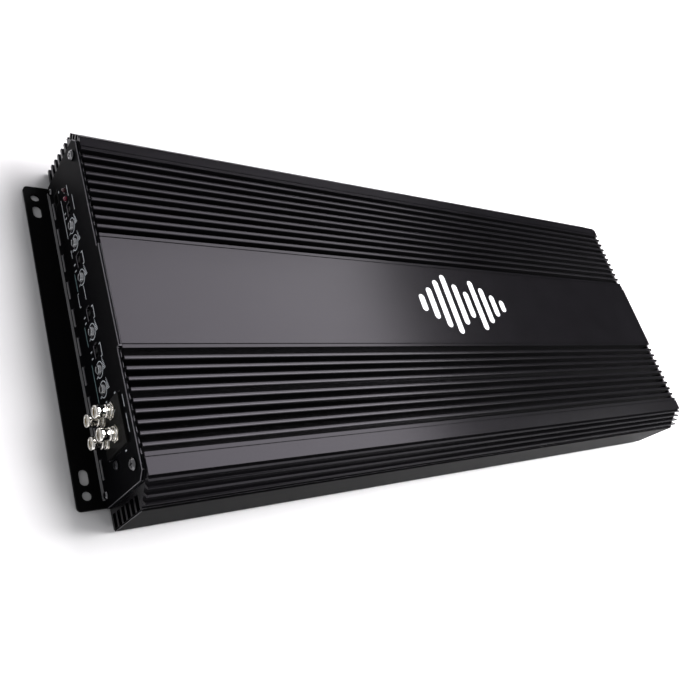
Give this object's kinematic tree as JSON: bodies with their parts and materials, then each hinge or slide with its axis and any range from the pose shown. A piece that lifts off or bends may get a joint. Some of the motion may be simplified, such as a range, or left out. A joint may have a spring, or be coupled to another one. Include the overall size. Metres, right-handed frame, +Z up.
{
  "type": "car power amplifier",
  "caption": "Long black finned-heatsink car amplifier with phono jacks, level knobs and slide switches on one end and cable terminals on the other.",
  "frame": {"origin": "centre of the bounding box at the underside of the mounting plate", "axes": "+X along the heatsink away from the controls, +Y across it away from the trim strip, +Z up out of the finned top"},
  "size_m": [0.648, 0.2636, 0.0635],
  "materials": {
    "black_anodised": "black anodised, satin with a fine brushed grain",
    "trim_black": "black anodised, smooth satin",
    "plate_black": "matte black powder coat",
    "end_plate_black": "semi-gloss black paint with white printed marks",
    "screw_steel": "bright zinc plated",
    "screw_black": "black oxide",
    "jack_metal": "polished nickel plating",
    "black_plastic": "moulded black",
    "white_plastic": "moulded off-white",
    "brass": "bright plated brass",
    "knob_metal": "bright knurled",
    "blue_plastic": "moulded",
    "lever_black": "moulded black",
    "led_clear": "dark tinted lens",
    "led_red": "red tinted lens",
    "board": "solder resist over glass-epoxy board",
    "cream_plastic": "moulded",
    "chip_black": "moulded epoxy",
    "ferrite": "coated ferrite",
    "copper": "enamelled copper",
    "capacitor_sleeve": "shrink sleeve with bare aluminium top",
    "film_red": "dipped epoxy",
    "silicone_pad": "thermal pad",
    "clamp_steel": "plated steel"
  },
  "bodies": {
    "root": {"heatsink": "black_anodised", "front_trim_strip": "trim_black", "mounting_plate": "plate_black", "control_end_plate": "end_plate_black", "power_end_plate": "end_plate_black", "end_plate_top_screws": "screw_steel", "end_plate_bottom_screws": "screw_steel", "base_screws": "screw_black", "jack_block_screw": "screw_black", "jack_housing": "black_plastic", "jack_shells": "jack_metal", "jack_nuts": "jack_metal", "jack_insulators": "white_plastic", "jack_contacts": "brass", "potentiometer_bodies": "blue_plastic", "slide_switch_bodies": "black_plastic", "power_led": "led_clear", "protect_led": "led_red", "remote_socket": "black_plastic", "control_board": "board", "control_board_spacers": "white_plastic", "control_chips": "chip_black", "board_connector": "cream_plastic", "main_board": "board", "board_spacers": "brass", "board_screws": "screw_steel", "driver_board": "board", "toroid_cores": "ferrite", "toroid_windings": "copper", "reservoir_capacitors": "capacitor_sleeve", "supply_capacitors": "capacitor_sleeve", "film_capacitors": "film_red", "output_inductors": "copper", "front_transistors": "chip_black", "back_transistors": "chip_black", "transistor_pads": "silicone_pad", "clamp_bars": "clamp_steel", "clamp_bar_screws": "screw_steel", "power_terminal_housing": "black_plastic", "power_terminal_clamps": "brass", "power_terminal_screws": "clamp_steel", "speaker_terminal_housing": "black_plastic", "speaker_terminal_clamps": "brass", "speaker_terminal_screws": "clamp_steel", "power_bus_bars": "copper", "speaker_bus_strips": "copper"},
    "knob_1": {"knob_1": "knob_metal"},
    "knob_2": {"knob_2": "knob_metal"},
    "knob_3": {"knob_3": "knob_metal"},
    "knob_4": {"knob_4": "knob_metal"},
    "knob_5": {"knob_5": "knob_metal"},
    "knob_6": {"knob_6": "knob_metal"},
    "switch_lever_1": {"switch_lever_1": "lever_black"},
    "switch_lever_2": {"switch_lever_2": "lever_black"},
    "switch_lever_3": {"switch_lever_3": "lever_black"},
    "switch_lever_4": {"switch_lever_4": "lever_black"}
  },
  "joints": [
    {"name": "knob_1_turn", "type": "hinge", "parent": "root", "child": "knob_1", "pos_m": [-0.307, 0.0664, 0.0305], "axis": [-1, 0, 0], "range_deg": [-150, 150]},
    {"name": "knob_2_turn", "type": "hinge", "parent": "root", "child": "knob_2", "pos_m": [-0.307, 0.05332, 0.0305], "axis": [-1, 0, 0], "range_deg": [-150, 150]},
    {"name": "knob_3_turn", "type": "hinge", "parent": "root", "child": "knob_3", "pos_m": [-0.307, 0.02716, 0.0305], "axis": [-1, 0, 0], "range_deg": [-150, 150]},
    {"name": "knob_4_turn", "type": "hinge", "parent": "root", "child": "knob_4", "pos_m": [-0.307, -0.01208, 0.0305], "axis": [-1, 0, 0], "range_deg": [-150, 150]},
    {"name": "knob_5_turn", "type": "hinge", "parent": "root", "child": "knob_5", "pos_m": [-0.307, -0.03824, 0.0305], "axis": [-1, 0, 0], "range_deg": [-150, 150]},
    {"name": "knob_6_turn", "type": "hinge", "parent": "root", "child": "knob_6", "pos_m": [-0.307, -0.05132, 0.0305], "axis": [-1, 0, 0], "range_deg": [-150, 150]},
    {"name": "switch_1_slide", "type": "slide", "parent": "root", "child": "switch_lever_1", "axis": [0, 1, 0], "range_m": [-0.002, 0.002]},
    {"name": "switch_2_slide", "type": "slide", "parent": "root", "child": "switch_lever_2", "axis": [0, 1, 0], "range_m": [-0.002, 0.002]},
    {"name": "switch_3_slide", "type": "slide", "parent": "root", "child": "switch_lever_3", "axis": [0, 1, 0], "range_m": [-0.002, 0.002]},
    {"name": "switch_4_slide", "type": "slide", "parent": "root", "child": "switch_lever_4", "axis": [0, 1, 0], "range_m": [-0.002, 0.002]}
  ]
}
